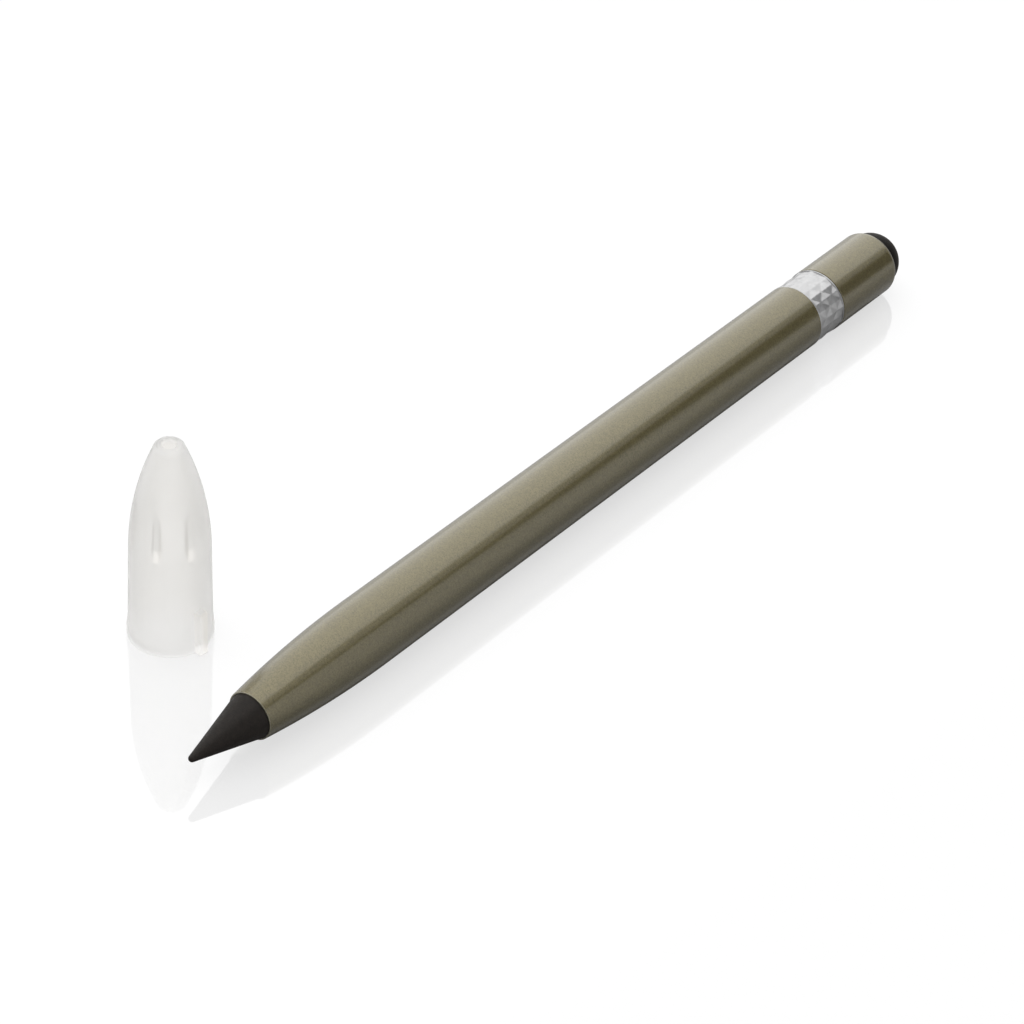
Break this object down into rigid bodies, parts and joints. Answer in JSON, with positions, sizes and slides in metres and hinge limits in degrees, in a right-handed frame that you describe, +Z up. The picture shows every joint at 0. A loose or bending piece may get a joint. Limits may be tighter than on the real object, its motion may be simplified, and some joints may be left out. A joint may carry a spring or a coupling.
{
  "type": "inkless pencil",
  "caption": "Slim inkless metal pencil with a tapered nose, screw-in graphite cone nib, diamond-cut band and domed eraser, its clear pointed push-on cap standing beside it.",
  "frame": {"origin": "on the pencil's axis, at the middle of the straight part of the barrel", "axes": "+X along the pencil towards the eraser, +Z up, the table at z = -4.5 mm under the lying pencil"},
  "size_m": [0.1421, 0.0307, 0.0275],
  "materials": {
    "olive_lacquer": "satin metallic olive lacquer on aluminium",
    "graphite": "matte black graphite composite",
    "stud_steel": "turned steel",
    "inner_plastic": "moulded black plastic",
    "satin_silver": "satin silver with cut facets",
    "eraser_rubber": "matte black rubber",
    "frosted_plastic": "clear, slightly frosted polypropylene"
  },
  "bodies": {
    "pencil": {"barrel": "olive_lacquer", "nose_bush": "inner_plastic", "knurled_band": "satin_silver", "rear_sleeve": "olive_lacquer", "joining_plug": "inner_plastic", "eraser_holder": "inner_plastic"},
    "nib": {"nib": "graphite", "nib_stud": "stud_steel"},
    "eraser": {"eraser": "eraser_rubber"},
    "cap": {"cap": "frosted_plastic"}
  },
  "joints": [
    {"name": "nib_unscrew", "type": "slide", "parent": "pencil", "child": "nib", "axis": [-1, 0, 0], "range_m": [0, 0.0075]},
    {"name": "eraser_pull", "type": "slide", "parent": "pencil", "child": "eraser", "axis": [1, 0, 0], "range_m": [0, 0.0072]},
    {"name": "cap_lift", "type": "slide", "parent": "pencil", "child": "cap", "axis": [0, 0, 1], "range_m": [0, 0.06]}
  ]
}
